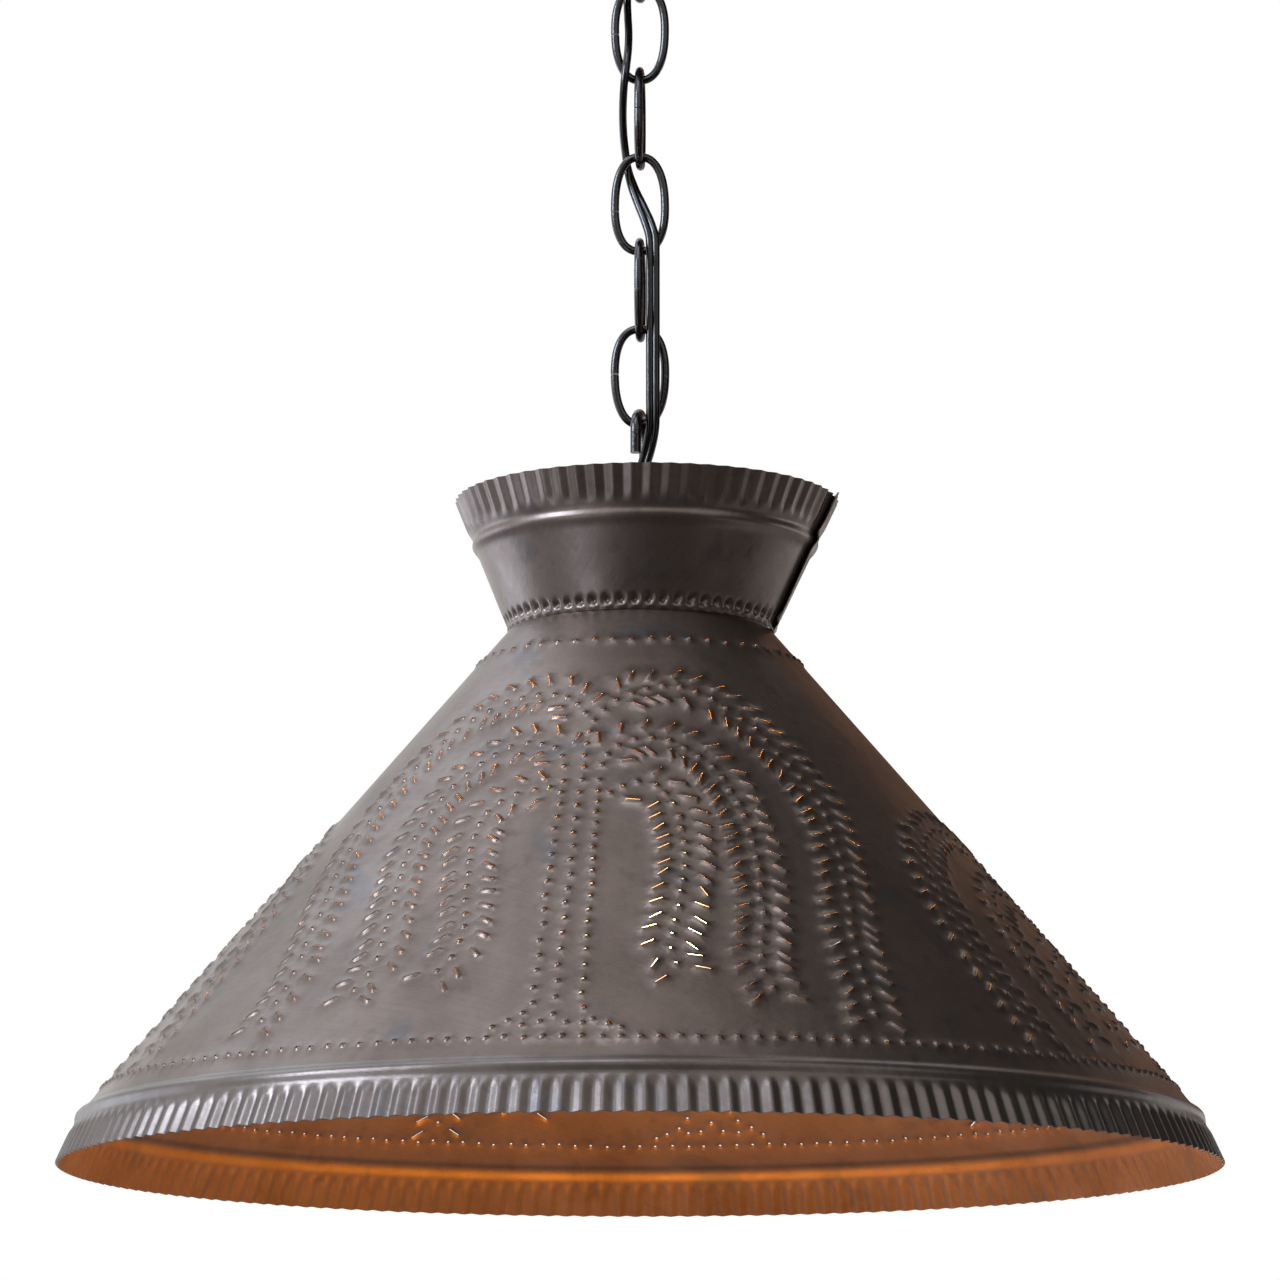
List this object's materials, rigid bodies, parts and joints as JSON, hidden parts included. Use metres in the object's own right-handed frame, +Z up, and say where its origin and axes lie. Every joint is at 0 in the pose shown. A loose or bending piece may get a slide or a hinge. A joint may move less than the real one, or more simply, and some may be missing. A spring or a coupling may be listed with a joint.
{
  "type": "punched tin pendant lamp",
  "caption": "Ceiling pendant: a punched, crimped tin cone shade with a flared tin collar, hung by an open hook on an oval-link chain with a flat cord woven through it.",
  "frame": {"origin": "centre of the crossbar's top face, in the plane of the ceiling", "axes": "+Z up to the ceiling, +X along the crossbar, -Y towards the viewer of the picture"},
  "size_m": [0.4079, 0.408, 0.4862],
  "materials": {
    "blackened_tin": "tin sheet blackened and brushed to a satin sheen, cloudy patina",
    "black_steel": "black-brown lacquer, worn at the bends",
    "zinc_steel": "zinc plated",
    "green_steel": "green dyed zinc",
    "brass": "drawn, slightly dulled",
    "cord_rubber": "satin black-brown jacket",
    "connector_plastic": "moulded",
    "card_liner": "pressed card",
    "porcelain": "glazed",
    "frosted_glass": "frosted inside, lit warm",
    "clear_glass": "clear",
    "black_glass": "fused black glass",
    "tungsten": "drawn wire"
  },
  "bodies": {
    "canopy": {"crossbar": "zinc_steel", "canopy_screws": "zinc_steel", "ball_nuts": "black_steel", "canopy": "black_steel", "canopy_loop": "black_steel", "loop_lock_nut": "zinc_steel", "ground_screw": "green_steel", "wire_connectors": "connector_plastic", "canopy_leads": "cord_rubber", "cord_head": "cord_rubber", "cord_1": "cord_rubber"},
    "link_1": {"chain_link_1": "black_steel", "cord_2": "cord_rubber"},
    "link_2": {"chain_link_2": "black_steel", "cord_3": "cord_rubber"},
    "link_3": {"chain_link_3": "black_steel", "cord_4": "cord_rubber"},
    "link_4": {"chain_link_4": "black_steel", "cord_5": "cord_rubber"},
    "link_5": {"chain_link_5": "black_steel", "cord_6": "cord_rubber"},
    "lamp": {"hook": "black_steel", "stem_pipe": "zinc_steel", "top_lock_nut": "zinc_steel", "top_washer": "zinc_steel", "neck_plate": "blackened_tin", "bottom_washer": "zinc_steel", "bottom_lock_nut": "zinc_steel", "shade": "blackened_tin", "collar": "blackened_tin", "socket_cap": "brass", "cap_set_screw": "zinc_steel", "socket_shell": "brass", "socket_liner": "card_liner", "socket_body": "porcelain", "socket_screw_shell": "brass", "socket_contact": "brass", "terminal_screws": "brass", "socket_leads": "cord_rubber", "cord_tail": "cord_rubber"},
    "bulb": {"bulb_glass": "frosted_glass", "bulb_screw_shell": "zinc_steel", "bulb_insulator": "black_glass", "bulb_contact": "zinc_steel", "bulb_stem": "clear_glass", "bulb_filament": "tungsten"}
  },
  "joints": [
    {"name": "link_1_swing", "type": "hinge", "parent": "canopy", "child": "link_1", "pos_m": [0, 0, -0.0602], "axis": [0, 1, 0], "range_deg": [-15, 15], "deforming": ["cord_1"]},
    {"name": "link_2_swing", "type": "hinge", "parent": "link_1", "child": "link_2", "pos_m": [0, 0, -0.0916], "axis": [1, 0, 0], "range_deg": [-15, 15], "deforming": ["cord_2"]},
    {"name": "link_3_swing", "type": "hinge", "parent": "link_2", "child": "link_3", "pos_m": [0, 0, -0.1235], "axis": [0, 1, 0], "range_deg": [-15, 15], "deforming": ["cord_3"]},
    {"name": "link_4_swing", "type": "hinge", "parent": "link_3", "child": "link_4", "pos_m": [0, 0, -0.1554], "axis": [1, 0, 0], "range_deg": [-15, 15], "deforming": ["cord_4"]},
    {"name": "link_5_swing", "type": "hinge", "parent": "link_4", "child": "link_5", "pos_m": [0, 0, -0.1873], "axis": [0, 1, 0], "range_deg": [-15, 15], "deforming": ["cord_5"]},
    {"name": "lamp_swing", "type": "hinge", "parent": "link_5", "child": "lamp", "pos_m": [0, 0, -0.2192], "axis": [1, 0, 0], "range_deg": [-15, 15], "deforming": ["cord_6"]},
    {"name": "bulb_unscrew", "type": "slide", "parent": "lamp", "child": "bulb", "axis": [0, 0, -1], "range_m": [0, 0.03]}
  ]
}
